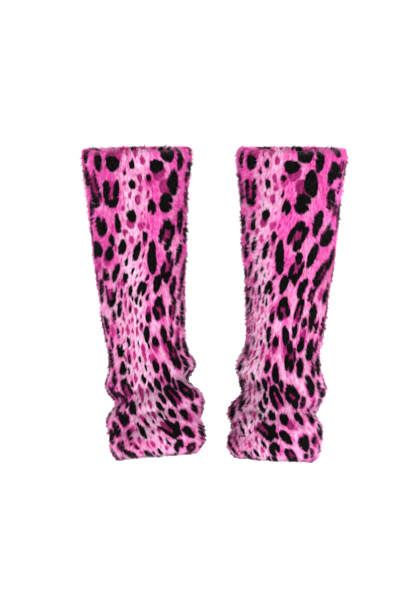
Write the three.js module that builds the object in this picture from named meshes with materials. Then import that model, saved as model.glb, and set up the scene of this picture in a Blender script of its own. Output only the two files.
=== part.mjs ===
// A pair of faux-fur leg warmers, as worn: two hollow tubes of pile cloth that follow a calf, bunch up in
// slanting rolls above the ankle and are drawn in at both ends by an elastic in a turned casing.
// Millimetres, +Z up, +X to the viewer's right, +Y away from the viewer. The origin lies midway between
// the two legs, level with the elastic in the top casings.
import * as THREE from "three";

// Driving dimensions of one leg warmer.
const WORN_LENGTH = 369; // top edge to bottom edge as worn, with the slack bunched up
const PILE_WALL = 6; // backing cloth and its pile, out to where the fibres end
const CASING_WALL = 10; // the same cloth turned in once, with the inner pile pressed flat
const TOP_CASING = 26; // height of the casing at the calf
const BOTTOM_CASING = 18; // height of the casing at the ankle
const SEAM_GAP = 0.3; // between two pieces that are sewn together
const BACK_SEAM = 90; // the panel's two long edges meet here, in degrees round from +X
const SHIN_NARROWING = 0.05; // how much slimmer a leg is in front of its middle than behind it
const GATHERS = 12; // puckers that the ankle elastic draws up
const GATHER_DEPTH = 1.6;
const GATHER_REACH = 22; // how far up from the ankle edge the puckers fade out
const LEFT_LIFT = 3.2; // how much higher the left ankle edge is pushed up
const LIFT_FROM = 300; // drop at which that begins

// How finely the solids are faceted.
const STEPS_AROUND = 48;
const PLAIN_ROWS = 5; // rows of the panel on the smooth calf
const BUNCHED_ROWS = 30; // rows of the panel on the rolls
const BUNCHED_FROM = 205; // drop at which the rolls begin
const FOLD_ARC_STEPS = 4; // facets round the folded edge of a casing

const TOP_EDGE_Z = TOP_CASING / 2;
const FUR_PINK = 0xe85ab4;
const FUR_PINK_DEEP = 0xd9469f;

// Each row is one level of a leg. drop: down from the top edge. x, y: the tube's centre. width, depth:
// half the tube's size across and front to back. right, front: how far the cloth rises for each
// millimetre towards +X and towards the viewer, as the tube leans and its edges tip.
const SECTION_COLUMNS = ["drop", "x", "y", "width", "depth", "right", "front"];
const LEFT_SECTIONS = [
  [0, -90.2, 0, 64.6, 62, 0.02, 0.045],
  [21, -89.4, 2, 63.3, 64, 0.02, 0.04],
  [48, -89.4, 6, 59.6, 64.5, 0.02, 0.03],
  [90, -88.1, 11, 56.6, 64, 0.03, 0.02],
  [146, -86.1, 14, 52.3, 59, 0.04, 0.01],
  [202, -82.6, 13, 49.0, 53, 0.05, 0],
  [231, -79.6, 13, 46.4, 51, 0.06, 0.01],
  [261, -73.8, 14, 48.2, 53, 0.07, 0.03],
  [300, -69.1, 14, 52.8, 56, 0.07, 0.05],
  [333, -66.8, 14, 55.8, 58.5, 0.065, 0.1],
  [353, -67.4, 14, 55.4, 58, 0.065, 0.14],
  [369, -68.2, 14, 50.4, 52, 0.065, 0.16],
];
const RIGHT_SECTIONS = [
  [0, 90.6, 0, 64.4, 62, -0.005, 0.045],
  [21, 89.9, 2, 63.6, 64, -0.01, 0.04],
  [48, 89.4, 6, 60.0, 64.5, -0.015, 0.03],
  [90, 88.4, 11, 56.6, 64, -0.02, 0.02],
  [146, 87.5, 14, 51.8, 59, -0.03, 0.01],
  [202, 84.2, 13, 47.0, 53, -0.04, 0],
  [231, 82.0, 13, 44.7, 51, -0.05, 0.01],
  [261, 77.2, 14, 47.6, 53, -0.05, 0.03],
  [300, 75.0, 14, 50.8, 56, -0.05, 0.05],
  [333, 72.6, 14, 54.2, 58.5, -0.05, 0.08],
  [353, 71.6, 14, 54.6, 58, -0.05, 0.1],
  [369, 71.4, 14, 50.8, 52, -0.05, 0.11],
];

// Each row is one roll (height above 0) or crease (below 0) of the bunched cloth. drop, around: its
// middle. height: how far it stands out. breadth: how far it reaches up and down. span: how far it
// reaches round, in degrees. slant: how far it drops over a quarter turn round.
const FOLD_COLUMNS = ["drop", "around", "height", "breadth", "span", "slant"];
const LEFT_FOLDS = [
  [258, 0, 4.0, 10, 55, 8],
  [279, 0, -8.6, 8.5, 58, 18],
  [299, 0, 4.0, 11, 60, 18],
  [326, 0, -4.4, 8, 48, 12],
  [353, 0, 2.6, 9, 60, 4],
  [277, 180, 6.0, 12, 58, -18],
  [300, 180, -5.6, 8.5, 58, -18],
  [321, 180, 4.6, 11, 62, -14],
  [285, -80, -3.6, 8, 52, -12],
  [310, -75, -3.8, 8, 40, -12],
  [297, -85, 2.2, 8, 46, -14],
  [330, -110, -2.6, 8, 34, -10],
  [322, -60, 2.0, 8, 40, -10],
  [265, 95, 5.2, 11, 60, 10],
  [285, 90, -6.6, 8, 66, 12],
  [306, 85, 5.0, 10, 60, -8],
  [326, 100, -4.6, 8, 52, -10],
  [239, 120, -2.6, 9, 44, 14],
  [131, 20, 1.4, 16, 40, 18],
  [179, 165, -1.6, 14, 42, -18],
];
const RIGHT_FOLDS = [
  [241, 0, -1.8, 9, 44, 8],
  [283, 0, 6.8, 14, 58, 14],
  [313, 0, -7.8, 7.8, 58, 16],
  [335, 0, 1.2, 11, 60, 8],
  [258, 180, 3.4, 11, 56, 10],
  [292, 180, -8.6, 8.5, 58, 8],
  [314, 180, 4.4, 10, 60, 8],
  [335, 180, -3.4, 8, 46, 6],
  [356, 180, 2.2, 9, 60, 0],
  [281, -115, -3.6, 8, 48, 6],
  [313, -110, -3.6, 8, 42, -6],
  [297, -95, 2.4, 9, 46, -6],
  [326, -70, 2.0, 9, 44, 8],
  [267, 85, 5.2, 11, 60, -10],
  [289, 90, -6.6, 8, 66, -12],
  [310, 95, 5.0, 10, 60, 8],
  [328, 80, -4.6, 8, 52, 10],
  [243, 60, -2.6, 9, 44, -14],
  [123, 160, 1.4, 16, 40, -18],
  [173, 15, -1.6, 14, 42, 18],
];

const LEGS = [
  { name: "left", sections: LEFT_SECTIONS, folds: LEFT_FOLDS, lift: LEFT_LIFT },
  { name: "right", sections: RIGHT_SECTIONS, folds: RIGHT_FOLDS, lift: 0 },
];

// The row of a table that lies at a drop, smoothly between the rows given.
function smoothSections(rows) {
  const drops = rows.map((row) => row[0]);
  const curve = new THREE.CubicInterpolant(drops, rows.flat(), SECTION_COLUMNS.length);
  return (drop) => {
    const values = curve.evaluate(THREE.MathUtils.clamp(drop, 0, WORN_LENGTH));
    return Object.fromEntries(SECTION_COLUMNS.map((column, i) => [column, values[i]]));
  };
}

// The shortest turn from one direction to another, from -180 to 180 degrees.
const turnBetween = (from, to) => THREE.MathUtils.euclideanModulo(to - from + 180, 360) - 180;

// A bump that is 1 in the middle and fades smoothly to nothing at both sides.
const bell = (offset, reach) => Math.exp(-((offset / reach) ** 2));

// How far the rolls and creases move the cloth out at one place.
function foldHeight(folds, around, drop) {
  let height = 0;
  for (const row of folds) {
    const fold = Object.fromEntries(FOLD_COLUMNS.map((column, i) => [column, row[i]]));
    const turn = turnBetween(fold.around, around);
    const middle = fold.drop + (fold.slant * turn) / 90;
    height += fold.height * bell(drop - middle, fold.breadth) * bell(turn, fold.span);
  }
  return height;
}

// The puckers above the ankle elastic, in the outer face alone.
function gatherHeight(around, drop) {
  const nearEdge = THREE.MathUtils.smoothstep(drop, WORN_LENGTH - GATHER_REACH, WORN_LENGTH);
  return GATHER_DEPTH * nearEdge * 0.5 * (Math.cos(THREE.MathUtils.degToRad(around * GATHERS)) - 1);
}

// A function that takes a place in the wall (degrees round, drop below the top edge, depth inside the
// outer face) to its point in space.
function wallOf(leg) {
  const sectionAt = smoothSections(leg.sections);
  return (around, drop, depth, gathered = 0) => {
    const section = sectionAt(drop);
    const out = foldHeight(leg.folds, around, drop) + gathered * gatherHeight(around, drop) - depth;
    const angle = THREE.MathUtils.degToRad(around);
    const slim = 1 + SHIN_NARROWING * Math.sin(angle);
    const right = (section.width + out) * Math.cos(angle) * slim;
    const back = (section.depth + out) * Math.sin(angle);
    const lift = leg.lift * THREE.MathUtils.smoothstep(drop, LIFT_FROM, WORN_LENGTH);
    const rise = section.right * right - section.front * back + lift;
    return new THREE.Vector3(section.x + right, section.y + back, TOP_EDGE_Z - drop + rise);
  };
}

// Moves every vertex of a geometry to where place(x, y, z) says.
function reshape(geometry, place) {
  const position = geometry.getAttribute("position");
  for (let i = 0; i < position.count; i++) {
    const point = place(position.getX(i), position.getY(i), position.getZ(i));
    position.setXYZ(i, point.x, point.y, point.z);
  }
  geometry.deleteAttribute("normal");
  geometry.deleteAttribute("uv");
  geometry.computeVertexNormals();
  return geometry;
}

// The row of the panel as a drop: wide rows on the smooth calf, narrow ones on the rolls.
function panelDrop(row) {
  const top = TOP_CASING + SEAM_GAP;
  const bottom = WORN_LENGTH - BOTTOM_CASING - SEAM_GAP;
  return row < PLAIN_ROWS
    ? THREE.MathUtils.mapLinear(row, 0, PLAIN_ROWS, top, BUNCHED_FROM)
    : THREE.MathUtils.mapLinear(row, PLAIN_ROWS, PLAIN_ROWS + BUNCHED_ROWS, BUNCHED_FROM, bottom);
}

// The one panel of a leg: a flat length of pile cloth, rolled into a tube whose long edges meet at the
// back seam.
function panelGeometry(leg) {
  const wall = wallOf(leg);
  const rows = PLAIN_ROWS + BUNCHED_ROWS;
  const flat = new THREE.BoxGeometry(STEPS_AROUND, 1, rows, STEPS_AROUND, 1, rows);
  const calf = leg.sections[0][SECTION_COLUMNS.indexOf("width")];
  const seamHalfTurn = THREE.MathUtils.radToDeg(SEAM_GAP / 2 / (calf - PILE_WALL));
  return reshape(flat, (across, out, along) => {
    const turn = THREE.MathUtils.mapLinear(
      across, -STEPS_AROUND / 2, STEPS_AROUND / 2, seamHalfTurn, 360 - seamHalfTurn);
    const drop = panelDrop(Math.round(along + rows / 2));
    return wall(BACK_SEAM + turn, drop, out > 0 ? 0 : PILE_WALL);
  });
}

// The outline of a casing, cut through: out along the wall, round the folded edge and back inside. Each
// point is (depth inside the outer face, distance from the folded edge).
function casingOutline(height) {
  const round = CASING_WALL / 2;
  const outline = [new THREE.Vector2(0, height)];
  for (let step = 0; step <= FOLD_ARC_STEPS; step++) {
    const angle = (Math.PI * step) / FOLD_ARC_STEPS;
    outline.push(new THREE.Vector2(round - round * Math.cos(angle), round - round * Math.sin(angle)));
  }
  outline.push(new THREE.Vector2(CASING_WALL, height));
  outline.push(outline[0].clone());
  return outline;
}

// A casing: the outline carried round the leg as a closed ring. atTop says which end it closes.
function casingGeometry(leg, atTop) {
  const wall = wallOf(leg);
  const height = atTop ? TOP_CASING : BOTTOM_CASING;
  const ringRadius = 2 * CASING_WALL; // of the plain ring, before it takes the leg's form
  const outline = casingOutline(height).map((p) => new THREE.Vector2(ringRadius - p.x, atTop ? -p.y : p.y));
  if (atTop) outline.reverse();
  const ring = new THREE.LatheGeometry(outline, STEPS_AROUND);
  return reshape(ring, (x, y, z) => {
    const depth = ringRadius - Math.hypot(x, z);
    const drop = atTop ? -y : WORN_LENGTH - y;
    const outerFace = depth < CASING_WALL / 2 ? 1 : 0;
    return wall(THREE.MathUtils.radToDeg(Math.atan2(z, x)), drop, depth, outerFace);
  });
}

function cloth(name, geometry, color) {
  const material = new THREE.MeshStandardMaterial({ color, roughness: 0.9, metalness: 0 });
  const mesh = new THREE.Mesh(geometry, material);
  mesh.name = name;
  return mesh;
}

function legWarmer(leg) {
  const group = new THREE.Group();
  group.add(cloth(`${leg.name}_panel`, panelGeometry(leg), FUR_PINK));
  group.add(cloth(`${leg.name}_top_casing`, casingGeometry(leg, true), FUR_PINK_DEEP));
  group.add(cloth(`${leg.name}_bottom_casing`, casingGeometry(leg, false), FUR_PINK_DEEP));
  return group;
}

const pair = new THREE.Group();
for (const leg of LEGS) pair.add(legWarmer(leg));

export default pair;
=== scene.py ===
"""A pair of faux-fur leg warmers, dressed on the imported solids.

Each leg warmer is a knitted backing with a turned casing at both ends, and a dense dyed pile that lies down
the leg. Lengths are in millimetres until a mesh is made, and the place of everything comes from the same
tables as the solids.
"""
import math

import bpy
import numpy as np
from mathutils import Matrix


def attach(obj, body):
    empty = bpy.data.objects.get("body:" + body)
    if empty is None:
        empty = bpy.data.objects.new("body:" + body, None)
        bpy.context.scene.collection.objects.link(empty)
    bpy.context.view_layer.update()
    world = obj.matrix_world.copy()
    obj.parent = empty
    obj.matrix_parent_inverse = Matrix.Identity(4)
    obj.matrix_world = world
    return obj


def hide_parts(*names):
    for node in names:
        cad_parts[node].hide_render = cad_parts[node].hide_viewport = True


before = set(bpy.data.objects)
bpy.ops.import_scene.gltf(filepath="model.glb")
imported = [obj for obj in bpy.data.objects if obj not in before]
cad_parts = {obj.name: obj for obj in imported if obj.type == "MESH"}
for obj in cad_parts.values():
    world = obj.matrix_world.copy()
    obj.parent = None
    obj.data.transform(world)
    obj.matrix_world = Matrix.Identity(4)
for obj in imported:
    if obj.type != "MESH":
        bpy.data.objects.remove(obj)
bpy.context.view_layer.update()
MM = 0.001

# The camera, as in the photograph
CAMERA_DISTANCE = 4500
CAMERA_ELEVATION = 7.4
CAMERA_TARGET = (-6.9, 14, -162)
FRAME_HEIGHT = 692.6
SENSOR = 36

camera_data = bpy.data.cameras.new("camera")
camera_data.sensor_width = SENSOR
camera_data.lens = SENSOR * CAMERA_DISTANCE / FRAME_HEIGHT
camera_data.clip_end = 60
camera = bpy.data.objects.new("camera", camera_data)
bpy.context.scene.collection.objects.link(camera)
tilt = math.radians(CAMERA_ELEVATION)
camera.location = (
    CAMERA_TARGET[0] * MM,
    (CAMERA_TARGET[1] - CAMERA_DISTANCE * math.cos(tilt)) * MM,
    (CAMERA_TARGET[2] + CAMERA_DISTANCE * math.sin(tilt)) * MM,
)
camera.rotation_euler = (math.pi / 2 - tilt, 0, 0)
bpy.context.scene.camera = camera

# The form of a leg, as in the solids
WORN_LENGTH = 369
TOP_EDGE_Z = 13
TOP_CASING = 26
BOTTOM_CASING = 18
SHIN_NARROWING = 0.05
GATHERS = 12
GATHER_DEPTH = 1.6
GATHER_REACH = 22
LIFT_FROM = 300

# drop, x, y, half width, half depth, rise to the right, rise to the front
LEFT_SECTIONS = np.array([
    [0, -90.2, 0, 64.6, 62, 0.02, 0.045],
    [21, -89.4, 2, 63.3, 64, 0.02, 0.04],
    [48, -89.4, 6, 59.6, 64.5, 0.02, 0.03],
    [90, -88.1, 11, 56.6, 64, 0.03, 0.02],
    [146, -86.1, 14, 52.3, 59, 0.04, 0.01],
    [202, -82.6, 13, 49.0, 53, 0.05, 0],
    [231, -79.6, 13, 46.4, 51, 0.06, 0.01],
    [261, -73.8, 14, 48.2, 53, 0.07, 0.03],
    [300, -69.1, 14, 52.8, 56, 0.07, 0.05],
    [333, -66.8, 14, 55.8, 58.5, 0.065, 0.1],
    [353, -67.4, 14, 55.4, 58, 0.065, 0.14],
    [369, -68.2, 14, 50.4, 52, 0.065, 0.16],
])
RIGHT_SECTIONS = np.array([
    [0, 90.6, 0, 64.4, 62, -0.005, 0.045],
    [21, 89.9, 2, 63.6, 64, -0.01, 0.04],
    [48, 89.4, 6, 60.0, 64.5, -0.015, 0.03],
    [90, 88.4, 11, 56.6, 64, -0.02, 0.02],
    [146, 87.5, 14, 51.8, 59, -0.03, 0.01],
    [202, 84.2, 13, 47.0, 53, -0.04, 0],
    [231, 82.0, 13, 44.7, 51, -0.05, 0.01],
    [261, 77.2, 14, 47.6, 53, -0.05, 0.03],
    [300, 75.0, 14, 50.8, 56, -0.05, 0.05],
    [333, 72.6, 14, 54.2, 58.5, -0.05, 0.08],
    [353, 71.6, 14, 54.6, 58, -0.05, 0.1],
    [369, 71.4, 14, 50.8, 52, -0.05, 0.11],
])
# drop, around, height, breadth, span, slant: the rolls and creases of the solids
LEFT_FOLDS = [
    (258, 0, 4.0, 10, 55, 8),
    (279, 0, -8.6, 8.5, 58, 18),
    (299, 0, 4.0, 11, 60, 18),
    (326, 0, -4.4, 8, 48, 12),
    (353, 0, 2.6, 9, 60, 4),
    (277, 180, 6.0, 12, 58, -18),
    (300, 180, -5.6, 8.5, 58, -18),
    (321, 180, 4.6, 11, 62, -14),
    (285, -80, -3.6, 8, 52, -12),
    (310, -75, -3.8, 8, 40, -12),
    (297, -85, 2.2, 8, 46, -14),
    (330, -110, -2.6, 8, 34, -10),
    (322, -60, 2.0, 8, 40, -10),
    (265, 95, 5.2, 11, 60, 10),
    (285, 90, -6.6, 8, 66, 12),
    (306, 85, 5.0, 10, 60, -8),
    (326, 100, -4.6, 8, 52, -10),
    (239, 120, -2.6, 9, 44, 14),
    (131, 20, 1.4, 16, 40, 18),
    (179, 165, -1.6, 14, 42, -18),
]
RIGHT_FOLDS = [
    (241, 0, -1.8, 9, 44, 8),
    (283, 0, 6.8, 14, 58, 14),
    (313, 0, -7.8, 7.8, 58, 16),
    (335, 0, 1.2, 11, 60, 8),
    (258, 180, 3.4, 11, 56, 10),
    (292, 180, -8.6, 8.5, 58, 8),
    (314, 180, 4.4, 10, 60, 8),
    (335, 180, -3.4, 8, 46, 6),
    (356, 180, 2.2, 9, 60, 0),
    (281, -115, -3.6, 8, 48, 6),
    (313, -110, -3.6, 8, 42, -6),
    (297, -95, 2.4, 9, 46, -6),
    (326, -70, 2.0, 9, 44, 8),
    (267, 85, 5.2, 11, 60, -10),
    (289, 90, -6.6, 8, 66, -12),
    (310, 95, 5.0, 10, 60, 8),
    (328, 80, -4.6, 8, 52, 10),
    (243, 60, -2.6, 9, 44, -14),
    (123, 160, 1.4, 16, 40, -18),
    (173, 15, -1.6, 14, 42, 18),
]
# The small creases that only the cloth has: those in front as shown, the rest alike
LEFT_CREASES = [
    (279, -97, -2.6, 3.7, 24, -14),
    (307, -96, -2.8, 3.7, 24, -16),
    (327, -113, -1.8, 3.2, 16, -8),
    (290, -48, -1.2, 4, 16, 12),
    (270, 62, -1.8, 4, 26, 12),
    (294, 124, -2.0, 4, 24, -12),
    (318, 58, -1.8, 3.6, 22, 10),
    (252, 142, -1.4, 4, 20, 14),
    (336, 132, -1.4, 3.4, 20, 0),
    (311, 168, -1.2, 3.4, 16, -10),
]
RIGHT_CREASES = [
    (275, -122, -2.6, 3.7, 22, -10),
    (308, -130, -2.8, 3.7, 24, -8),
    (296, -70, -1.2, 4, 18, 10),
    (322, -60, -1.6, 3.6, 20, 14),
    (268, 118, -1.8, 4, 26, -12),
    (293, 58, -2.0, 4, 24, 12),
    (317, 122, -1.8, 3.6, 22, -8),
    (250, 40, -1.4, 4, 20, -14),
    (338, 52, -1.4, 3.4, 20, 4),
    (300, 8, -1.2, 3.4, 16, 12),
]

# The cloth inside the wall: a knitted backing, a mat of underfur on it, and the pile, which ends at the
# wall's outer face
PILE_HEIGHT = 4.8
TURNED_RADIUS = 1.3
BACKING = 1.0
UNDERFUR = 2.4
PRESSED_INSIDE = 0.52
SEAM_GAP = 0.3
TURNED_DEPTH = PILE_HEIGHT + 2 * TURNED_RADIUS
EDGE_MARGIN = 0.75 * PILE_HEIGHT + TURNED_RADIUS
CLOTH_PER_DEGREE = 1.056
SEAM_DENT, SEAM_BREADTH = 1.0, 2.2
STITCH_DENT, STITCH_BREADTH = 0.7, 1.8

LEGS = {
    "left": {
        "sections": LEFT_SECTIONS,
        "folds": LEFT_FOLDS + LEFT_CREASES,
        "lift": 3.2,
        "print_shift": 3.0,
        "print_twist": 0.0,
        "seed": 11,
    },
    "right": {
        "sections": RIGHT_SECTIONS,
        "folds": RIGHT_FOLDS + RIGHT_CREASES,
        "lift": 0.0,
        "print_shift": 29.0,
        "print_twist": 8.0,
        "seed": 23,
    },
}


def smoothstep(low, high, x):
    """Nothing below low, 1 above high, and 3t squared less 2t cubed between them."""
    t = np.clip((x - low) / (high - low), 0, 1)
    return t * t * (3 - 2 * t)


def sections_at(rows, drop):
    """Each column of a section table at the drops asked for.

    Between two rows runs a cubic whose slopes lean on the rows before and after, weighed by their distance,
    and at the ends the curve has no bend. It is the curve that the solids follow.
    """
    drop = np.clip(drop, rows[0, 0], rows[-1, 0])
    last = len(rows) - 1
    i = np.clip(np.searchsorted(rows[:, 0], drop, side="right"), 1, last)
    t0, t1 = rows[i - 1, 0], rows[i, 0]
    before = np.where(i > 1, i - 2, i)
    after = np.where(i < last, np.minimum(i + 1, last), i - 1)
    t_before = np.where(i > 1, rows[before, 0], 2 * t0 - t1)
    t_after = np.where(i < last, rows[after, 0], 2 * t1 - t0)
    half = (t1 - t0) / 2
    wp, wn = half / (t0 - t_before), half / (t_after - t1)
    p = (drop - t0) / (t1 - t0)
    weights = [
        -wp * p**3 + 2 * wp * p**2 - wp * p,
        (1 + wp) * p**3 + (-1.5 - 2 * wp) * p**2 + (-0.5 + wp) * p + 1,
        (-1 - wn) * p**3 + (1.5 + wn) * p**2 + 0.5 * p,
        wn * p**3 - wn * p**2,
    ]
    places = [before, i - 1, i, after]
    return [sum(w * rows[k, column] for w, k in zip(weights, places)) for column in range(1, 7)]


def turn_between(start, end):
    """The shortest turn from one direction to another, from -180 to 180 degrees."""
    return np.mod(end - start + 180, 360) - 180


def fold_height(folds, around, drop):
    """How far rolls and creases move the cloth: each is a bell of its drop times a bell of its turn."""
    height = np.zeros(np.broadcast(around, drop).shape)
    for middle, place, size, breadth, span, slant in folds:
        turn = turn_between(place, around)
        off = drop - middle - slant * turn / 90
        height += size * np.exp(-((off / breadth) ** 2) - (turn / span) ** 2)
    return height


def gather_height(around, drop):
    """The puckers above the ankle elastic: a cosine round the leg that fades out above the edge."""
    near_edge = smoothstep(WORN_LENGTH - GATHER_REACH, WORN_LENGTH, drop)
    return GATHER_DEPTH * near_edge * 0.5 * (np.cos(np.radians(around * GATHERS)) - 1)


def wall(leg, around, drop, depth, gathered):
    """A place in the wall as a point: an oval at that level, moved out by the folds and in by the depth.

    The front half of the oval is a little slimmer, the level tips with the leg's two slopes, and a lift
    comes in smoothly over the rolls.
    """
    x, y, width, length, right_slope, front_slope = sections_at(leg["sections"], drop)
    out = fold_height(leg["folds"], around, drop) + gathered * gather_height(around, drop) - depth
    angle = np.radians(around)
    right = (width + out) * np.cos(angle) * (1 + SHIN_NARROWING * np.sin(angle))
    back = (length + out) * np.sin(angle)
    rise = right_slope * right - front_slope * back
    rise = rise + leg["lift"] * smoothstep(LIFT_FROM, WORN_LENGTH, drop)
    return np.stack([x + right, y + back, TOP_EDGE_Z - drop + rise], axis=-1)


# The cloth's way through the wall, seen cut open: up inside the top casing, over the edge, down the
# outside, round the ankle edge and up inside again. Each stop is (along, depth, drop, way out in degrees).
ARC = math.pi * TURNED_RADIUS
OUTSIDE = WORN_LENGTH - 2 * EDGE_MARGIN
ALONG_TOP = -ARC / 2
ALONG_BOTTOM = ARC / 2 + OUTSIDE


def cloth_path():
    """The stops of the cloth's way: straight runs, and half circles of the turning radius at both edges."""
    turns = np.linspace(0, 1, 9)
    top_angle = np.radians(-180 * turns)
    bottom_angle = np.radians(-180 - 180 * turns)
    middle = PILE_HEIGHT + TURNED_RADIUS
    low = WORN_LENGTH - EDGE_MARGIN
    inside_top = TOP_CASING - EDGE_MARGIN
    inside_bottom = BOTTOM_CASING - EDGE_MARGIN
    stops = [[ALONG_TOP - inside_top, TURNED_DEPTH, TOP_CASING, 0]]
    for t, a in zip(turns, top_angle):
        stops.append([ALONG_TOP + t * ARC, middle + TURNED_RADIUS * math.cos(a),
                      EDGE_MARGIN + TURNED_RADIUS * math.sin(a), -180 * t])
    for t, a in zip(turns, bottom_angle):
        stops.append([ALONG_BOTTOM + t * ARC, middle + TURNED_RADIUS * math.cos(a),
                      low + TURNED_RADIUS * math.sin(a), -180 - 180 * t])
    stops.append([ALONG_BOTTOM + ARC + inside_bottom, TURNED_DEPTH, WORN_LENGTH - BOTTOM_CASING, -360])
    return np.array(stops)


PATH = cloth_path()
ALONG_START, ALONG_END = PATH[0, 0], PATH[-1, 0]
TOP_SEAM = ARC / 2 + TOP_CASING - EDGE_MARGIN
BOTTOM_SEAM = ALONG_BOTTOM - (BOTTOM_CASING - EDGE_MARGIN)


def skin(leg, turn, along, height):
    """A point over the backing: turn is degrees from the front, along follows the cloth's way.

    The height stands out square to that way. The back seam and the casings' stitch lines are shallow dents.
    """
    depth, drop, out = (np.interp(along, PATH[:, 0], PATH[:, k]) for k in (1, 2, 3))
    out = np.radians(out)
    facing_out = np.clip(-np.cos(out), 0, 1)
    from_seam = (180 - np.abs(turn)) * CLOTH_PER_DEGREE
    dent = SEAM_DENT * np.exp(-((from_seam / SEAM_BREADTH) ** 2))
    dent = dent + STITCH_DENT * np.exp(-(((along - TOP_SEAM) / STITCH_BREADTH) ** 2))
    dent = dent + STITCH_DENT * np.exp(-(((along - BOTTOM_SEAM) / STITCH_BREADTH) ** 2))
    over = height - dent * facing_out
    return wall(leg, turn - 90, drop + over * np.sin(out), depth + over * np.cos(out), facing_out)


def cloth_map(leg):
    """How far down the cloth each place lies, in cloth millimetres from the top edge.

    The path is walked in short steps on a grid, and the steps' lengths in space are added up, so that a
    roll takes up more cloth than it shows.
    """
    turns = np.linspace(-180, 180, 73)
    alongs = np.arange(ALONG_START, ALONG_END + 1, 1.0)
    points = skin(leg, turns[None, :], alongs[:, None], np.full((len(alongs), 73), 0.0))
    steps = np.linalg.norm(np.diff(points, axis=0), axis=2)
    down = np.concatenate([np.zeros((1, 73)), np.cumsum(steps, axis=0)])
    kernel = np.array([1, 2, 3, 2, 1]) / 9
    down = sum(k * np.roll(down[:, :-1], i - 2, axis=1) for i, k in enumerate(kernel))
    down = np.concatenate([down, down[:, :1]], axis=1)
    edge = int(round(-ALONG_START))
    return alongs, down - down[edge]


def read_grid(grid, row, column):
    """A grid's value between its points, by straight lines both ways."""
    row = np.clip(row, 0, grid.shape[0] - 1.001)
    column = np.clip(column, 0, grid.shape[1] - 1.001)
    i, j = row.astype(int), column.astype(int)
    a, b = row - i, column - j
    upper = grid[i, j] * (1 - b) + grid[i, j + 1] * b
    lower = grid[i + 1, j] * (1 - b) + grid[i + 1, j + 1] * b
    return upper * (1 - a) + lower * a


def pile_share(along):
    """How high the pile stands, 1 outside and about half inside, and how far inside the place lies."""
    inside = smoothstep(0.2, 0.9, np.cos(np.radians(np.interp(along, PATH[:, 0], PATH[:, 3]))))
    return 1 - PRESSED_INSIDE * inside, inside


def cloth_down(leg, turn, along):
    """The distance down the cloth at a place, read from the leg's map."""
    alongs, down = leg["map"]
    return read_grid(down, along - alongs[0], (turn + 180) / 5)


TWIST_FROM, TWIST_TO = 55, 110


def print_across(leg, turn, down):
    """Where a place lies across the print: its turn, the leg's shift and a twist that comes in low down."""
    twist = leg["print_twist"] * smoothstep(TWIST_FROM, TWIST_TO, down)
    return turn * CLOTH_PER_DEGREE + leg["print_shift"] + twist


def smooth_noise(x, y, size, seed):
    """Even noise from -1 to 1: random numbers on a square lattice, joined by smooth steps."""
    values = np.random.default_rng(seed).uniform(-1, 1, (128, 128))
    x, y = x / size, y / size
    i, j = np.floor(x).astype(int), np.floor(y).astype(int)
    a, b = x - i, y - j
    a, b = a * a * (3 - 2 * a), b * b * (3 - 2 * b)
    i0, i1, j0, j1 = i % 128, (i + 1) % 128, j % 128, (j + 1) % 128
    upper = values[i0, j0] * (1 - a) + values[i1, j0] * a
    lower = values[i0, j1] * (1 - a) + values[i1, j1] * a
    return upper * (1 - b) + lower * b


# The leopard print, charted flat in cloth millimetres: across is from the middle of the front, down from
# the top edge. Pale bands wander down the cloth between pink flanks.
CHART_STEP = 0.5
CHART_LEFT, CHART_RIGHT = -205, 240
CHART_TOP, CHART_BOTTOM = -40, 470
BAND_DOWN = [-40, 60, 120, 180, 240, 300, 360, 470]
BANDS = [
    ([2, -1, -8, -15, -13, -5, 2, 8], [14, 16, 19, 23, 26, 29, 30, 28]),
    ([150, 154, 163, 166, 158, 150, 146, 150], [15, 17, 21, 22, 25, 27, 26, 24]),
    ([-158, -152, -143, -140, -148, -154, -160, -156], [15, 17, 21, 22, 25, 27, 26, 24]),
]
# How the spots lean with the distance down, in degrees from straight down, towards the right
LEAN_DOWN = [-40, 90, 150, 220, 270, 320, 380, 470]
LEAN = [-4, -8, -20, -12, 8, 32, 44, 36]


def band_distance(across, down):
    """How far a place is from the nearest pale band: 0 in its middle and 1 at its edge."""
    shares = []
    for middles, widths in BANDS:
        middle = np.interp(down, BAND_DOWN, middles)
        width = np.interp(down, BAND_DOWN, widths)
        shares.append(np.abs(across - middle) / width)
    return np.minimum.reduce(shares)
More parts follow.
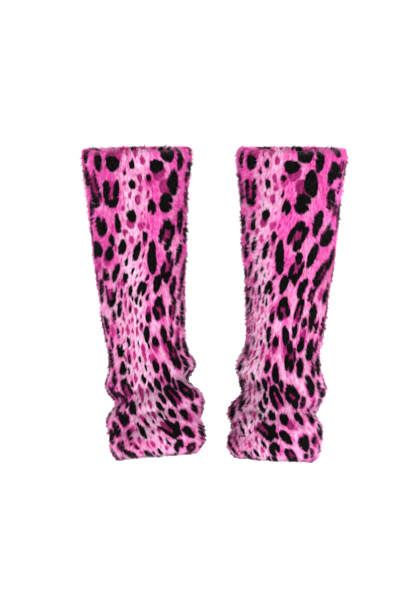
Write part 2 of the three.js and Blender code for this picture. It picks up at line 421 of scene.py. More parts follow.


# The leading spots: across, down, half length, half breadth, lean, kind
LEADING_SPOTS = [
    (-46, 12, 9, 7.5, 15, "oval"),
    (-23, 9, 13, 11, -34, "smudged"),
    (-58, 45, 20, 10.5, 14, "claw"),
    (-29, 47, 16, 12, -6, "claw"),
    (-52, 89, 12.5, 13, 0, "lobed"),
    (-23, 84, 11, 5, -4, "oval"),
    (-4, 79, 12, 6.5, -4, "smudged"),
    (-34, 104, 6.5, 5.5, -10, "oval"),
    (-62, 116, 9.5, 9, -10, "oval"),
    (-43, 124, 13, 8.5, -34, "smudged"),
    (-19, 112, 10, 4.8, -22, "oval"),
    (1, 117, 10.5, 4.6, -22, "oval"),
    (-32, 143, 12, 5, -34, "oval"),
    (-52, 146, 8, 7, -20, "oval"),
    (-19, 151, 9, 5, -34, "smudged"),
    (6, 161, 9.5, 7, -20, "lobed"),
    (-46, 172, 11, 8.5, 10, "claw"),
    (41, 42, 12, 8, 24, "heart"),
    (30, 21, 12.5, 10, 36, "smudged"),
    (53, 38, 15, 9.5, 22, "oval"),
    (43, 61, 12.5, 11, 66, "lobed"),
    (62, 12, 12, 6.5, 8, "oval"),
    (23, 65, 9, 6.5, -12, "lobed"),
    (45, 97, 17, 11.5, -12, "rosette"),
    (70, 84, 16, 7.5, -10, "oval"),
    (22, 125, 19, 7, -4, "oval"),
    (46, 138, 17.5, 9.5, -18, "rosette"),
    (69, 122, 14, 7, -24, "oval"),
    (87, 58, 15, 9.5, 12, "lobed"),
    (92, 100, 15, 12, -40, "lobed"),
    (84, 26, 16, 8, -14, "oval"),
    (88, 146, 18, 9.5, -44, "claw"),
    (110, 128, 16, 8, -40, "oval"),
    (-76, 30, 14, 10, 12, "lobed"),
    (-73, 74, 15, 8.5, -20, "oval"),
    (-104, 52, 19, 14, 18, "broken"),
    (-74, 118, 13, 8, -22, "oval"),
    (-110, 100, 14, 10, 10, "smudged"),
    (126, 20, 15, 11, -14, "claw"),
    (121, 80, 19, 12, 8, "broken"),
    (199, 50, 17, 13, -22, "rosette"),
    (207, 102, 16, 11, 16, "claw"),
    (190, 12, 12, 10, 30, "smudged"),
    (-191, 40, 16, 11, 20, "broken"),
    (-187, 88, 15, 10, -12, "claw"),
    (30, 186, 14, 9.5, 6, "rosette"),
    (54, 188, 14, 6, -14, "claw"),
    (37, 224, 20, 6.2, 6, "smudged"),
    (49, 243, 17, 8.5, 10, "rosette"),
    (13, 250, 12, 6, 20, "smudged"),
    (29, 263, 12, 5.5, 12, "oval"),
    (12, 276, 9, 4, 28, "oval"),
    (1, 279, 7, 3, 28, "oval"),
    (67, 255, 11, 7, 10, "oval"),
    (-41, 235, 10, 8, 0, "lobed"),
    (-41, 257, 8, 7.5, 0, "oval"),
    (-39, 281, 12, 8.5, 12, "claw"),
    (-29, 304, 9.5, 6.5, 14, "lobed"),
    (-43, 319, 9.5, 9, 20, "lobed"),
    (32, 291, 15, 8, 34, "claw"),
    (16, 293, 7.5, 3.6, 36, "oval"),
    (11, 304, 7.5, 3.6, 36, "oval"),
    (57, 288, 17, 9, 42, "rosette"),
    (28, 313, 8, 4, 42, "oval"),
    (50, 319, 13.5, 6, 58, "smudged"),
    (69, 316, 10, 4.4, 54, "oval"),
    (22, 333, 15, 7.5, 58, "claw"),
    (50, 338, 12, 5.2, 58, "oval"),
    (36, 354, 9.5, 7.5, 40, "lobed"),
    (-60, 334, 10, 8, 40, "oval"),
    (80, 347, 13, 7.5, 34, "oval"),
    (60, 362, 13, 6.5, 48, "rosette"),
    (27, 372, 7, 4.2, 0, "oval"),
    (-37, 363, 14, 5, 76, "oval"),
    (-14, 379, 9.5, 4.6, -16, "oval"),
    (46, 386, 11, 6.5, 20, "lobed"),
    (-52, 384, 12, 8.5, 50, "claw"),
    (-66, 205, 13, 7.5, 8, "oval"),
    (-70, 246, 14, 8.5, 6, "oval"),
    (-69, 288, 12, 8, 0, "lobed"),
    (-84, 320, 13, 8.5, 10, "oval"),
    (-76, 372, 12, 7.5, 28, "oval"),
    (80, 196, 16, 8, -10, "oval"),
    (85, 236, 14, 8.5, 4, "oval"),
    (86, 278, 13, 7.5, 20, "oval"),
    (93, 318, 13, 7.5, 34, "lobed"),
    (90, 388, 12, 7, 24, "oval"),
    (108, 170, 14, 8.5, -20, "oval"),
    (111, 212, 13, 8, -6, "lobed"),
    (112, 256, 13, 9, 8, "oval"),
    (114, 296, 12, 8, 24, "oval"),
    (114, 340, 13, 8, 36, "oval"),
    (110, 382, 13, 8, 34, "lobed"),
]
# Each kind of spot as small ovals inside it: (along, across, half length, half breadth), in shares of the
# whole, first those in black and then those in magenta
SPOT_KINDS = {
    "oval": ([(0, 0, 1, 1)], []),
    "lobed": ([(-0.1, -0.45, 0.85, 0.5), (0.05, 0.45, 0.8, 0.5), (0.4, 0, 0.5, 0.62)], []),
    "smudged": ([(-0.35, -0.05, 0.62, 0.88)], [(0.25, 0.1, 0.75, 0.85)]),
    "claw": ([(0, -0.66, 0.98, 0.36), (0.05, 0.62, 0.86, 0.4), (0.72, 0, 0.3, 0.66)],
             [(-0.1, 0, 0.85, 0.7)]),
    "broken": ([(-0.6, 0, 0.42, 0.76), (0.32, 0.55, 0.64, 0.46), (0.45, -0.5, 0.56, 0.46)],
               [(-0.05, 0, 0.8, 0.72)]),
    "rosette": ([(-0.6, -0.3, 0.4, 0.5), (-0.15, 0.66, 0.68, 0.38), (0.62, 0.1, 0.38, 0.64),
                 (0.08, -0.7, 0.5, 0.34)], [(0, 0, 0.8, 0.78)]),
    "dot": ([], [(0, 0, 1, 1)]),
    "heart": ([], [(0, 0, 1, 1)]),
    "cored": ([(-0.3, 0, 0.5, 0.62)], [(0, 0, 1, 1)]),
}
KIND_NAMES = list(SPOT_KINDS)
# How much deeper the magenta of each kind of spot is than the lightest: the least and the most
HEART_DEPTH = {
    "oval": (0.7, 0.95),
    "lobed": (0.5, 0.9),
    "smudged": (0.05, 0.5),
    "claw": (0.15, 0.65),
    "broken": (0.15, 0.65),
    "rosette": (0.3, 0.9),
    "heart": (0.4, 0.6),
}
FREE_DEPTH = (0, 0.35)
# Where the kinds of spot change: band distances, and distances down
IN_BAND, AT_EDGE, NEAR_BAND, FLANK = 0.8, 1.3, 1.1, 1.4
TOP_PART, CALF_PART, LOW_BAND, ANKLE_PART = 110, 150, 240, 285
# Half length, half breadth and kinds, equally likely, of the spots on the flanks in those parts
CALF_SPOTS = (14.5, 9.6), ["oval", "lobed", "smudged", "claw", "oval", "rosette"]
SHIN_SPOTS = (13.5, 7.8), ["claw", "oval", "oval", "smudged", "rosette", "lobed"]
ANKLE_SPOTS = (12.5, 7.6), ["rosette", "broken", "oval", "oval", "claw", "smudged"]


def spot_plan(across, down, chance, size):
    """Half length, half breadth, lean and kind of a spot that would lie at a place."""
    q = band_distance(across, down)
    lean = np.interp(down, LEAN_DOWN, LEAN) + 24 * (chance[1] - 0.5)
    if across < -30 and down > 330:
        lean = -lean - 20
    pick = chance[2]
    if q < IN_BAND:
        short_share, dot_share = (0.55, 0.42) if down > LOW_BAND else (0.8, 0.62)
        shape = (4.8, 2.3) if chance[0] < short_share else (8.0, 2.6)
        if down < TOP_PART:
            shape = (4.6, 3.1)
        kind = "dot" if pick < dot_share else ("cored" if pick < 0.76 else "oval")
    elif q < AT_EDGE:
        shape = (8.5, 4.2)
        limits = [0.2, 0.6, 0.85]
        kind = ["cored", "oval", "smudged", "dot"][int(np.searchsorted(limits, pick, side="right"))]
    else:
        part = CALF_SPOTS if down < CALF_PART else (SHIN_SPOTS if down < ANKLE_PART else ANKLE_SPOTS)
        shape = part[0]
        kind = part[1][int(pick * 5.99)]
        if down < CALF_PART:
            lean = lean * 2
    if size < 0.62 and kind not in ("dot", "cored"):
        kind = "oval" if chance[0] < 0.7 else "dot"
    return shape[0] * size, shape[1] * size, lean, kind


SPOT_TRIES = 28000


def scatter_spots():
    """The leading spots, and then as many others as fit between them, from large to small.

    A place is tried at random, and its spot is kept where the two spots' ovals, added together with a
    narrow gap, don't reach each other.
    """
    rng = np.random.default_rng(5)
    rows = [list(spot[:5]) + [KIND_NAMES.index(spot[5])] for spot in LEADING_SPOTS]
    places = rng.uniform((CHART_LEFT, CHART_TOP), (CHART_RIGHT, CHART_BOTTOM), (SPOT_TRIES, 2))
    chances = rng.random((SPOT_TRIES, 3))
    sizes = np.interp(np.arange(SPOT_TRIES) / SPOT_TRIES, [0, 0.25, 0.6, 1], [1.25, 1.0, 0.7, 0.38])
    for (across, down), chance, size in zip(places, chances, sizes):
        size = size * (0.85 + 0.3 * chance[0])
        length, breadth, lean, kind = spot_plan(across, down, chance, size)
        known = np.array(rows)
        dx, dy = known[:, 0] - across, known[:, 1] - down
        angle = np.radians((known[:, 4] + lean) / 2)
        q = band_distance(across, down)
        in_band = (1.5 if down < CALF_PART else 0.7) if q < NEAR_BAND else 0
        gap = 0.9 + 0.12 * breadth + in_band + (0.25 if q > AT_EDGE else 0)
        if q > FLANK and size < (0.6 if down < CALF_PART else 0.48):
            continue
        long_way = (dx * np.sin(angle) + dy * np.cos(angle)) / (known[:, 2] + length + gap)
        short_way = (dx * np.cos(angle) - dy * np.sin(angle)) / (known[:, 3] + breadth + gap)
        if np.min(long_way**2 + short_way**2) > 1:
            rows.append([across, down, length, breadth, lean, KIND_NAMES.index(kind)])
    return np.array(rows)


def print_chart():
    """Four shares at each place of the flat cloth: black, magenta, pale, and how deep the magenta is.

    A spot is a few small ovals, shaken a little. An oval's edge is where its stretched radius, warped by
    two waves round it and by fine noise, is 1. Magenta inside a dark spot is deeper than in a free one.
    """
    columns = int((CHART_RIGHT - CHART_LEFT) / CHART_STEP)
    lines = int((CHART_BOTTOM - CHART_TOP) / CHART_STEP)
    across, down = np.meshgrid(
        CHART_LEFT + CHART_STEP * np.arange(columns), CHART_TOP + CHART_STEP * np.arange(lines))
    black = np.zeros((lines, columns))
    magenta = np.zeros((lines, columns))
    deep = np.zeros((lines, columns))
    near = np.zeros((lines, columns))
    rough = smooth_noise(across * 1.5, down * 0.8, 2.4, 31)
    rough = rough + 0.6 * smooth_noise(across * 1.5, down, 1.2, 32)
    rng = np.random.default_rng(77)
    for spot_across, spot_down, length, breadth, lean, kind in scatter_spots():
        kind = KIND_NAMES[int(kind)]
        reach = 1.5 * length + 2
        j0, j1 = (int((spot_across + r - CHART_LEFT) / CHART_STEP) for r in (-reach, reach))
        i0, i1 = (int((spot_down + r - CHART_TOP) / CHART_STEP) for r in (-reach, reach))
        j0, i0 = max(j0, 0), max(i0, 0)
        if j1 <= j0 or i1 <= i0:
            continue
        window = (slice(i0, i1), slice(j0, j1))
        dx, dy = across[window] - spot_across, down[window] - spot_down
        angle = math.radians(lean)
        a = (dx * math.sin(angle) + dy * math.cos(angle)) / length * rng.choice([-1, 1])
        b = (dx * math.cos(angle) - dy * math.sin(angle)) / breadth * rng.choice([-1, 1])
        shares = []
        for ovals in SPOT_KINDS[kind]:
            share = np.zeros_like(a)
            for place_a, place_b, half_a, half_b in ovals:
                shake = rng.normal(0, 0.07, 4) if len(ovals) > 1 else np.zeros(4)
                pa, pb = (a - place_a - shake[0]) / half_a, (b - place_b - shake[1]) / half_b
                round_it = np.arctan2(pb, pa)
                waves = rng.uniform(0, 2 * math.pi, 2)
                warp = 1 + shake[2] + 0.1 * np.sin(2 * round_it + waves[0])
                warp = warp + 0.07 * np.sin(3 * round_it + waves[1]) + 0.28 / breadth * rough[window]
                soft = 0.3 / (breadth * half_b)
                pointed = rng.uniform(1.3, 2.4)
                spread = np.sqrt(pa**2 + np.abs(pb) ** pointed) * warp
                share = np.maximum(share, smoothstep(1 + soft, 1 - soft, spread))
            shares.append(share)
        dark, heart = shares
        within = rng.uniform(*HEART_DEPTH.get(kind, FREE_DEPTH))
        if kind == "oval" and length > 7:
            slit = smoothstep(1.3, 0.6, np.hypot(a / 0.5, b / 0.24) + 0.2 * rough[window])
            dark, heart = dark * (1 - 0.5 * slit), np.maximum(heart, slit)
        halo = 0.4 * smoothstep(1.35, 0.95, np.hypot(a, b)) if len(SPOT_KINDS[kind][0]) > 1 else 0
        close = smoothstep(1.2 + 2.2 / breadth, 1.05, np.hypot(a, b))
        near[window] = np.maximum(near[window], close)
        black[window] = np.maximum(black[window], dark)
        deep[window] = np.where(heart > magenta[window], within * heart, deep[window])
        magenta[window] = np.maximum(magenta[window], np.maximum(heart, halo))
    q = band_distance(across, down)
    wander = smooth_noise(across, down * 0.7, 19, 41) + 0.5 * smooth_noise(across, down, 7, 42)
    pale = smoothstep(1.5, 0.5, q + 0.5 * wander)
    pale = pale * (0.5 + 0.5 * smoothstep(-0.5, 0.3, smooth_noise(across, down * 0.7, 13, 44)))
    patches = 0.36 * smoothstep(0, 0.8, smooth_noise(across, down, 13, 45))
    fine_lines = smooth_noise(across * 1.5, down * 0.6, 6, 43)
    net = (1 - near) * (0.75 + 0.35 * fine_lines)
    lower = smoothstep(110, 200, down) * np.clip(net, 0, 0.85)
    return black, magenta, np.maximum(pale, np.maximum(patches, lower)), deep


CHART = print_chart()


def read_print(across, down):
    """The print's four shares at places on the flat cloth."""
    row = (down - CHART_TOP) / CHART_STEP
    column = (across - CHART_LEFT) / CHART_STEP
    return [read_grid(layer, row, column) for layer in CHART]


class Link:
    """A node's output that takes part in sums as a number does: each operator adds its Math node."""

    def __init__(self, finish, socket):
        self.finish = finish
        self.socket = socket

    def math(self, operation, *values):
        return self.finish.node("ShaderNodeMath", {"operation": operation}, dict(enumerate(values)))

    def __add__(self, other):
        return self.math("ADD", self, other)

    def __sub__(self, other):
        return self.math("SUBTRACT", self, other)

    def __mul__(self, other):
        return self.math("MULTIPLY", self, other)

    __radd__ = __add__


class Finish:
    """A material in the making, with its shader and a method that adds any other node."""

    def __init__(self, name, **fixed):
        self.material = bpy.data.materials.new(name)
        self.material.use_nodes = True
        self.nodes = self.material.node_tree.nodes
        self.shader = next(n for n in self.nodes if n.type == "BSDF_PRINCIPLED")
        for socket, value in fixed.items():
            self.shader.inputs[socket.replace("_", " ")].default_value = value

    def node(self, kind, settings=None, inputs=None, output=0):
        """A node of a kind: its settings first, then its sockets' values or links."""
        node = self.nodes.new(kind)
        for key, value in (settings or {}).items():
            setattr(node, key, value)
        for key, value in (inputs or {}).items():
            if isinstance(value, Link):
                self.material.node_tree.links.new(value.socket, node.inputs[key])
            else:
                node.inputs[key].default_value = value
        return Link(self, node.outputs[output])

    def attribute(self, name, output="Fac"):
        return self.node("ShaderNodeAttribute", {"attribute_name": name}, output=output)

    def mix(self, share, first, second, blend="MIX"):
        """Two colours mixed by a share. The sockets are those of the colour form of the node."""
        settings = {"data_type": "RGBA", "blend_type": blend}
        return self.node("ShaderNodeMix", settings, {0: share, 6: first, 7: second}, output=2)

    def edge(self, value, low, high):
        """A soft step: nothing below low, 1 above high."""
        settings = {"interpolation_type": "SMOOTHSTEP"}
        inputs = {"Value": value, "From Min": low, "From Max": high}
        return self.node("ShaderNodeMapRange", settings, inputs)

    def feed(self, socket, link):
        self.material.node_tree.links.new(link.socket, self.shader.inputs[socket])


def linear(red, green, blue):
    """A colour as seen on a screen, 0 to 255 a channel, as the shader's linear colour."""
    shares = [c / 255 for c in (red, green, blue)]
    parts = [c / 12.92 if c <= 0.04045 else ((c + 0.055) / 1.055) ** 2.4 for c in shares]
    return (*parts, 1)


def dyed(finish):
    """The print's colour on a fibre: ground, pale, magenta and black, each lighter or darker by tone."""
    tone = finish.attribute("tone")
    dye = finish.attribute("dye", "Color")
    depth = finish.attribute("dye", "Alpha")
    parts = finish.nodes.new("ShaderNodeSeparateColor")
    finish.material.node_tree.links.new(dye.socket, parts.inputs[0])
    black, magenta, pale = (Link(finish, parts.outputs[k]) for k in range(3))
    black, magenta = finish.edge(black, 0.2, 0.4), finish.edge(magenta, 0.25, 0.65)
    ground = finish.mix(tone, linear(228, 30, 158), linear(255, 110, 212))
    light = finish.mix(tone, linear(246, 166, 218), linear(255, 238, 250))
    free = finish.mix(tone, linear(176, 28, 114), linear(230, 72, 166))
    within = finish.mix(tone, linear(84, 12, 54), linear(138, 32, 94))
    ink = finish.mix(tone, linear(3, 3, 3), linear(14, 10, 13))
    colour = finish.mix(pale, ground, light)
    colour = finish.mix(magenta, colour, finish.mix(depth, free, within))
    return finish.mix(black, colour, ink), black


def pile_finish():
    """Fine soft fibres: darker at the root and in creases by painted shade, and a little glossier where the
    dye is black.
    """
    finish = Finish("dyed_pile_painted_shade", Sheen_Weight=0.02, Sheen_Roughness=0.4, Specular_IOR_Level=0.07)
    colour, black = dyed(finish)
    along = finish.attribute("along")
    # Painted shade: the fibres darken towards the root, as if shadowed deep in the pile
    root = finish.mix(along * 0.8 + 0.2, (0.74, 0.64, 0.7, 1), (1, 1, 1, 1))
    # Painted shade from the shade attribute: creases, troughs, the inside of the opening, low flecks and
    # tufts
    painted_shade = finish.mix(finish.attribute("shade"), (1, 1, 1, 1), (0.56, 0.52, 0.55, 1))
    colour = finish.mix(1.0, colour, root, "MULTIPLY")
    finish.feed("Base Color", finish.mix(1.0, colour, painted_shade, "MULTIPLY"))
    place = finish.node("ShaderNodeTexCoord", output="Object")
    patch = finish.node("ShaderNodeTexNoise", inputs={"Vector": place, "Scale": 180.0, "Detail": 2.0})
    finish.feed("Roughness", 0.55 + patch * 0.2 - black * 0.08)
    return finish.material


def backing_finish():
    """Fine knit on the inside, with rows of small loops; the underfur outside carries the dye, darker by
    painted shade beneath the pile.
    """
    finish = Finish("knitted_backing", Sheen_Weight=0.15, Sheen_Roughness=0.5)
    colour, _ = dyed(finish)
    # Painted shade: the underfur beneath the pile is darkened to about half
    underfur_painted_shade = finish.mix(1.0, colour, (0.5, 0.42, 0.46, 1), "MULTIPLY")
    cloth = finish.node("ShaderNodeUVMap", {"uv_map": "cloth"})
    ribs = {"Vector": cloth, "Scale": 26.0, "Distortion": 1.2, "Detail": 1.0, "Detail Scale": 3.0}
    wales = finish.node("ShaderNodeTexWave", {"bands_direction": "X"}, ribs, output="Fac")
    courses = finish.node("ShaderNodeTexWave", {"bands_direction": "Y"}, ribs, output="Fac")
    loops = wales * 0.6 + courses * 0.4
    fuzz = finish.node("ShaderNodeTexNoise", inputs={"Vector": cloth, "Scale": 60.0, "Detail": 4.0})
    yarn = finish.mix(loops * 0.7 + fuzz * 0.3, linear(205, 150, 180), linear(238, 205, 222))
    finish.feed("Base Color", finish.mix(finish.attribute("pile_side"), yarn, underfur_painted_shade))
    finish.feed("Roughness", 0.7 + fuzz * 0.2)
    finish.feed("Normal", finish.node(
        "ShaderNodeBump", inputs={"Strength": 0.5, "Distance": 0.0003, "Height": loops}))
    return finish.material


PILE = pile_finish()
KNIT = backing_finish()


def mesh_piece(name, points, faces, material, attributes, loops_uv=None):
    """A mesh from arrays: points in millimetres, and faces as one array for each count of corners."""
    mesh = bpy.data.meshes.new(name)
    mesh.vertices.add(len(points))
    mesh.vertices.foreach_set("co", (points * MM).astype(np.float32).ravel())
    counts = np.concatenate([np.full(len(f), f.shape[1]) for f in faces])
    corners = np.concatenate([f.ravel() for f in faces])
    mesh.loops.add(len(corners))
    mesh.loops.foreach_set("vertex_index", corners.astype(np.int32))
    mesh.polygons.add(len(counts))
    starts = np.concatenate([[0], np.cumsum(counts)[:-1]])
    mesh.polygons.foreach_set("loop_start", starts.astype(np.int32))
    mesh.update(calc_edges=True)
    mesh.validate()
    for key, values in attributes.items():
        kind = "FLOAT_COLOR" if values.ndim == 2 else "FLOAT"
        layer = mesh.attributes.new(key, kind, "POINT")
        layer.data.foreach_set("color" if values.ndim == 2 else "value", values.astype(np.float32).ravel())
    if loops_uv is not None:
        layer = mesh.uv_layers.new(name="cloth")
        layer.data.foreach_set("uv", loops_uv[corners].astype(np.float32).ravel())
    mesh.polygons.foreach_set("use_smooth", np.ones(len(counts), dtype=bool))
    mesh.materials.append(material)
    piece = bpy.data.objects.new(name, mesh)
    bpy.context.scene.collection.objects.link(piece)
    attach(piece, "root")
    return piece


def backing_shell(name, leg, alongs, closed):
    """The backing of one cut piece: a thin strip carried round the leg, outer face, inner face and edges.

    Rows follow the cloth's way on the underfur and come back on the other side a backing's thickness in.
    A panel is left open at the back seam and closed off there, and a casing is a whole ring.
    """
    columns = 96
    half_gap = SEAM_GAP / 2 / CLOTH_PER_DEGREE
    if closed:
        turns = -180 + 360 * np.arange(columns) / columns
    else:
        turns = np.linspace(-180 + half_gap, 180 - half_gap, columns + 1)
    rows = np.concatenate([alongs, alongs[::-1]])
    heights = np.concatenate([UNDERFUR * pile_share(alongs)[0], np.full(len(alongs), -BACKING)])
    turn, along = np.meshgrid(turns, rows)
    points = skin(leg, turn, along, heights[:, None])
    count, width = turn.shape
    index = np.arange(count * width).reshape(count, width)
    below = np.roll(index, -1, axis=0)
    right = np.roll(index, -1, axis=1)
    both = np.roll(below, -1, axis=1)
    quads = np.stack([index, below, both, right], axis=-1)
    if not closed:
        quads = quads[:, :-1]
    faces = [quads.reshape(-1, 4)]
    if not closed:
        half = len(alongs)
        outer, inner = index[:half], index[half:][::-1]
        start = np.stack([outer[:-1, 0], inner[:-1, 0], inner[1:, 0], outer[1:, 0]], axis=-1)
        end = np.stack([outer[:-1, -1], outer[1:, -1], inner[1:, -1], inner[:-1, -1]], axis=-1)
        faces += [start, end]
    down = cloth_down(leg, turn, along)
    across = print_across(leg, turn, down)
    attributes = {
        "dye": np.stack([layer.ravel() for layer in read_print(across, down)], axis=-1),
        "tone": np.full(points.shape[0] * points.shape[1], 0.4),
        "pile_side": np.repeat((heights > 0).astype(float), width),
    }
    uv = np.stack([across.ravel(), -down.ravel()], axis=-1) / 100
    return mesh_piece(name, points.reshape(-1, 3), faces, KNIT, attributes, uv)


# The pile's strands, in millimetres, and how they gather in clumps, tufts and small locks
STRAND_GAP = 0.59
STRAND_LENGTH = 4.9
STRAND_HALF_WIDTH = 0.3
ROOT_SUNK = 0.2
CLUMP_ACROSS, CLUMP_DOWN = 5.0, 7.5
TUFT = 3.2
LOCK_ACROSS, LOCK_DOWN, LOCK_PULL = 1.05, 2.4, 0.4
STRAY_SHARE, STRAY_RISE = 0.07, 6.0
HEM_FRINGE, HEM_RISE, HEM_REACH = 1.05, 1.2, 6
# The nap's wandering over the leg and within a hand's breadth, its spread and its parting, in degrees
NAP_WANDER, NAP_RIPPLE, NAP_SPREAD, SEAM_PARTING = 24, 11, 7, 22
# Where along a strand its two colours are read, and how far they stray, in millimetres
DYE_PLACES = (0.42, 1.0)
DYE_STRAY = (0.18, 0.3)
WHITENING = 0.4
# The depth at which the painted shade in troughs or fine creases has grown dark, and the breadth that parts
# the two
SHADE_DEPTH, CREASE_SHADE, CREASE_BREADTH = 3.2, 1.5, 5


def clump_centres(across, down, seed):
    """For each place, the nearest centre of a loose lattice whose centres are shaken about."""
    shake = np.random.default_rng(seed).uniform(0.1, 0.9, (2, 97, 97))
    i, j = np.floor(across / CLUMP_ACROSS).astype(int), np.floor(down / CLUMP_DOWN).astype(int)
    best = np.full(across.shape, np.inf)
    centre = np.zeros((2,) + across.shape)
    key = np.zeros(across.shape, dtype=int)
    for di in (-1, 0, 1):
        for dj in (-1, 0, 1):
            m, n = (i + di) % 97, (j + dj) % 97
            x = (i + di + shake[0, m, n]) * CLUMP_ACROSS
            y = (j + dj + shake[1, m, n]) * CLUMP_DOWN
            distance = ((x - across) / CLUMP_ACROSS) ** 2 + ((y - down) / CLUMP_DOWN) ** 2
            nearer = distance < best
            best = np.where(nearer, distance, best)
            centre = np.where(nearer, [x, y], centre)
            key = np.where(nearer, m * 97 + n, key)
    return centre, key


def unit(vectors):
    """The same directions with a length of 1."""
    return vectors / np.maximum(np.linalg.norm(vectors, axis=-1, keepdims=True), 1e-9)


def pile(name, leg, turn_range, along_range, seed):
    """The pile on a stretch of cloth: each strand is one thin triangle, wide at its foot.

    Strands stand on a shaken grid that is even in cloth length. Each leans down the cloth by its nap, which
    wanders and follows the lean of the print, and towards the middle of its clump. Its tip is placed over
    the cloth where it comes to lie, so it follows rolls, but on a sharp turn it stays straight.
    """
    rng = np.random.default_rng(seed)
    alongs, down_map = leg["map"]
    mean_down = down_map.mean(axis=1)
    down_range = np.interp(along_range, alongs, mean_down)
    rows = int((down_range[1] - down_range[0]) / STRAND_GAP)
    columns = int((turn_range[1] - turn_range[0]) * 0.99 / STRAND_GAP)
    row, column = np.meshgrid(np.arange(rows), np.arange(columns), indexing="ij")
    count = rows * columns
    down_even = down_range[0] + (row.ravel() + rng.random(count)) * (down_range[1] - down_range[0]) / rows
    turn = turn_range[0] + (column.ravel() + rng.random(count)) * (turn_range[1] - turn_range[0]) / columns
    along = np.interp(down_even, mean_down, alongs)
    down = cloth_down(leg, turn, along)
    across = turn * CLOTH_PER_DEGREE
    centre, key = clump_centres(across, down, leg["seed"])
    clump_chance = np.random.default_rng(leg["seed"] + 1).random((3, 97 * 97))[:, key]

    # Nap and length
    lean = 0.5 * np.interp(down, LEAN_DOWN, LEAN)
    lean += NAP_WANDER * smooth_noise(across, down, 38, leg["seed"] + 2)
    lean += NAP_RIPPLE * smooth_noise(across, down, 12, leg["seed"] + 3) + rng.normal(0, NAP_SPREAD, count)
    from_seam = (180 - np.abs(turn)) * CLOTH_PER_DEGREE
    lean += -np.sign(turn) * SEAM_PARTING * np.exp(-((from_seam / 5) ** 2))
    lean = np.radians(lean)
    length = STRAND_LENGTH * (0.8 + 0.4 * rng.random(count)) * (0.88 + 0.24 * clump_chance[0])
    at_hem = np.exp(-(((along - ALONG_BOTTOM + 1) / HEM_REACH) ** 2))
    tuft = smooth_noise(across, down, TUFT, leg["seed"] + 5)
    sway = 0.4 * smooth_noise(across, down, 4, leg["seed"] + 6)
    lock_column = np.floor(across / LOCK_ACROSS + sway).astype(int)
    lock_row = np.floor(down / LOCK_DOWN + 0.37 * lock_column).astype(int)
    fleck, whitening = np.random.default_rng(leg["seed"] + 7).uniform(-1, 1, (2, 211, 197))[
        :, lock_column % 211, lock_row % 197]
    length *= 1 + HEM_FRINGE * at_hem
    pull = 0.35 + 0.25 * clump_chance[1]
    to_lock = (lock_column + 0.5 - sway) * LOCK_ACROSS - across
    move_across = length * np.sin(lean) + pull * (centre[0] - across) + LOCK_PULL * to_lock
    move_down = length * np.cos(lean) + pull * (centre[1] - down) * 0.6

    # Where the tip comes to lie
    step = cloth_down(leg, turn, along + 1) - cloth_down(leg, turn, along)
    drop = np.interp(along, PATH[:, 0], PATH[:, 2])
    sections = sections_at(leg["sections"], drop)
    radius = (sections[2] + sections[3]) / 2 - PILE_HEIGHT
    tip_turn = move_across / (radius * math.pi / 180)
    tip_along = move_down / np.maximum(step, 0.6)
    last = ALONG_END - 0.01
    tip_place = np.clip(along + tip_along, ALONG_START, last)
    share, inside = pile_share(tip_place)
    root = UNDERFUR * pile_share(along)[0] - ROOT_SUNK
    rise = PILE_HEIGHT * (0.9 + 0.18 * rng.random(count)) * (0.93 + 0.14 * clump_chance[2])
    stray = (rng.random(count) > 1 - STRAY_SHARE) * rng.random(count)
    rise *= 1 + 0.1 * tuft + 0.07 * fleck
    rise += STRAY_RISE * stray + HEM_RISE * at_hem
    rise *= share
    foot = skin(leg, turn, along, root)
    out = unit(skin(leg, turn, along, root + 1) - foot)
    tip = skin(leg, turn + tip_turn, tip_place, rise)
    near_place = np.clip(along + 0.1 * tip_along, ALONG_START, last)
    heading = unit(skin(leg, turn + 0.1 * tip_turn, near_place, root) - foot)
    reach = np.hypot(move_across, move_down)
    at_edge = np.exp(-(((along + 3) / 5) ** 2)) + at_hem
    stiff = np.clip(0.5 + 0.45 * at_edge + 0.4 * stray, 0, 0.97)

    # A straight strand's tip counts where it is further out than the cloth's turn
    straight = foot + heading * reach[:, None] + out * (rise - root)[:, None]
    lifted = np.einsum("ij,ij->i", straight - tip, out)
    tip = tip + (stiff * smoothstep(0.3, 2.5, lifted))[:, None] * (straight - tip)

    # The triangles
    direction = unit(tip - foot)
    side = unit(np.cross(direction, out))
    roll = rng.normal(0, 0.5, count)[:, None]
    side = side * np.cos(roll) + np.cross(direction, side) * np.sin(roll)
    half = (STRAND_HALF_WIDTH * (0.8 + 0.4 * rng.random(count) + 1.2 * stray))[:, None]
    points = np.stack([foot - side * half, foot + side * half, tip], axis=1).reshape(-1, 3)
    faces = [np.arange(3 * count).reshape(count, 3)]

    # The dye, where the strand's lower part and its tip lie on the cloth, with edges a little ragged
    shift_across = print_across(leg, turn, down) + rng.normal(0, DYE_STRAY[0], count)
    shift_down = down + rng.normal(0, DYE_STRAY[1], count)
    levels = [read_print(shift_across + s * move_across, shift_down + s * move_down) for s in DYE_PLACES]
    dye = np.stack([np.stack(levels[k], axis=-1) for k in (0, 0, 1)], axis=1)
    streak = 0.4 * (rng.random(count) - 0.5) + 0.4 * (rng.random(count) > 0.88)
    streak += WHITENING * (0.25 + dye[:, 2, 2]) * whitening
    dye[:, :, 2] = np.clip(dye[:, :, 2] + streak[:, None], 0, 1)
    tone = 0.5 + 0.3 * rng.normal(0, 1, count) + 0.24 * (clump_chance[0] - 0.5) + 0.75 * fleck
    tone += 0.15 * smooth_noise(across, down, 22, leg["seed"] + 4)
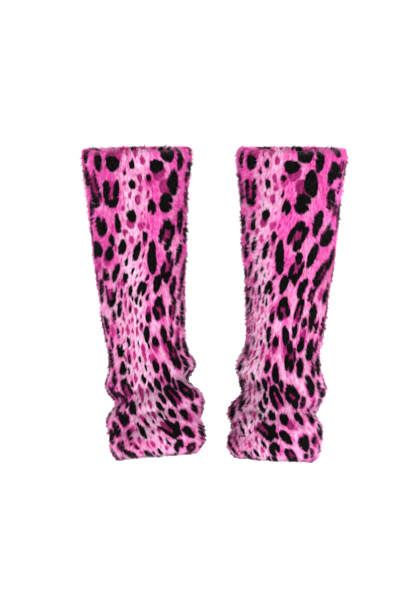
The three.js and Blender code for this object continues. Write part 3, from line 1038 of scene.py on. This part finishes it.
    # The shade attribute is painted shade: darker in troughs and fine creases, on the turned-in cloth
    # inside the opening, in low flecks and between tufts
    troughs = [fold for fold in leg["folds"] if fold[2] < 0]
    creases = [fold for fold in troughs if fold[3] <= CREASE_BREADTH]
    shade = 0.55 * (1 - np.exp(fold_height(troughs, turn - 90, drop) / SHADE_DEPTH))
    shade += 0.8 * (1 - np.exp(fold_height(creases, turn - 90, drop) / CREASE_SHADE)) ** 2 + inside
    shade = shade + 0.5 * np.clip(-fleck - 0.35, 0, 1) + 0.2 * np.clip(-tuft - 0.2, 0, 1)
    attributes = {
        "dye": dye.reshape(-1, 4),
        "tone": np.repeat(np.clip(tone, 0, 1), 3),
        "along": np.tile([0.0, 0.0, 1.0], count),
        "shade": np.repeat(np.clip(shade, 0, 1), 3),
    }
    return mesh_piece(name, points, faces, PILE, attributes)


def dress(side, leg):
    """The pieces of one leg warmer, each standing for its solid."""
    leg["map"] = cloth_map(leg)
    top = np.concatenate([
        np.linspace(ALONG_START, ALONG_TOP, 8), np.linspace(ALONG_TOP, -ALONG_TOP, 9)[1:],
        np.linspace(-ALONG_TOP, TOP_SEAM, 9)[1:]])
    bottom = np.concatenate([
        np.linspace(BOTTOM_SEAM, ALONG_BOTTOM, 6), np.linspace(ALONG_BOTTOM, ALONG_BOTTOM + ARC, 9)[1:],
        np.linspace(ALONG_BOTTOM + ARC, ALONG_END, 6)[1:]])
    body = np.concatenate([
        np.linspace(TOP_SEAM + SEAM_GAP, TOP_SEAM + 180, 24),
        np.linspace(TOP_SEAM + 180, BOTTOM_SEAM - SEAM_GAP, 60)[1:]])
    seed = 100 * leg["seed"]
    parts = [
        ("panel", body, False, (0.37, 0.4), [
            ("panel_front_pile", (-90, 90), (TOP_SEAM, BOTTOM_SEAM)),
            ("panel_back_left_pile", (-180, -90), (TOP_SEAM, BOTTOM_SEAM)),
            ("panel_back_right_pile", (90, 180), (TOP_SEAM, BOTTOM_SEAM)),
        ]),
        ("top_casing", top, True, (0.385, 0.052), [
            ("top_casing_pile", (-180, 180), (ALONG_START, TOP_SEAM)),
        ]),
        ("bottom_casing", bottom, True, (0.35, 0.036), [
            ("bottom_casing_pile", (-180, 180), (BOTTOM_SEAM, ALONG_END)),
        ]),
    ]
    for node, alongs, closed, flat, piles in parts:
        shell = backing_shell(f"{side}_{node}_backing", leg, alongs, closed)
        for k, (pile_name, turns, stretch) in enumerate(piles):
            pile(f"{side}_{pile_name}", leg, turns, stretch, seed + len(node) + k)
        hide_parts(f"{side}_{node}")


for side, leg in LEGS.items():
    dress(side, leg)

# Floor and light
FLOOR_Z = -500


def floor_finish():
    """A white floor that lights itself a little, with a barely seen mottle."""
    finish = Finish("studio_floor", Roughness=0.9, Emission_Strength=0.5)
    finish.shader.inputs["Emission Color"].default_value = (1, 1, 1, 1)
    place = finish.node("ShaderNodeTexCoord", output="Object")
    cloud = finish.node("ShaderNodeTexNoise", inputs={"Vector": place, "Scale": 2.0})
    finish.feed("Base Color", finish.mix(cloud, (0.86, 0.86, 0.86, 1), (0.9, 0.9, 0.9, 1)))
    return finish.material


def floor():
    """A wide flat disc: rings of points by radius and turn, closed in the middle."""
    ring = np.linspace(0, 2 * math.pi, 64, endpoint=False)
    radii = np.array([1.5, 5.0, 12.0, 30.0])
    points = np.stack([np.outer(radii, np.cos(ring)), np.outer(radii, np.sin(ring)),
                       np.full((4, 64), FLOOR_Z * MM)], axis=-1).reshape(-1, 3)
    points = np.concatenate([points, [[0, 0, FLOOR_Z * MM]]])
    faces = [(r * 64 + k, (r + 1) * 64 + k, (r + 1) * 64 + (k + 1) % 64, r * 64 + (k + 1) % 64)
             for r in range(3) for k in range(64)]
    faces += [(256, k, (k + 1) % 64) for k in range(64)]
    mesh = bpy.data.meshes.new("studio_floor")
    mesh.from_pydata(points.tolist(), [], faces)
    mesh.materials.append(floor_finish())
    piece = bpy.data.objects.new("studio_floor", mesh)
    bpy.context.scene.collection.objects.link(piece)


def soft_light(name, place, size, power):
    """A square soft light in metres, turned to the middle of the pair."""
    data = bpy.data.lights.new(name, "AREA")
    data.size = size
    data.energy = power
    lamp = bpy.data.objects.new(name, data)
    lamp.location = place
    back = np.array(place) - np.array([0, 0, -0.17])
    lamp.rotation_euler = (
        math.atan2(math.hypot(back[0], back[1]), back[2]), 0, math.atan2(back[1], back[0]) + math.pi / 2)
    bpy.context.scene.collection.objects.link(lamp)


floor()
soft_light("key_light", (1.0, -2.4, 1.1), 1.6, 44)
soft_light("fill_light", (-1.6, -2.0, 0.5), 1.8, 14)
soft_light("left_light", (-2.4, -0.5, 0.3), 1.6, 12)
soft_light("right_light", (2.4, -0.5, 0.3), 1.6, 30)
soft_light("back_light", (0.4, 2.4, 1.4), 1.6, 26)
world = bpy.data.worlds.new("studio")
world.use_nodes = True
background = next(n for n in world.node_tree.nodes if n.type == "BACKGROUND")
background.inputs["Color"].default_value = (1, 1, 1, 1)
background.inputs["Strength"].default_value = 0.98
bpy.context.scene.world = world
bpy.context.scene.view_settings.view_transform = "Standard"
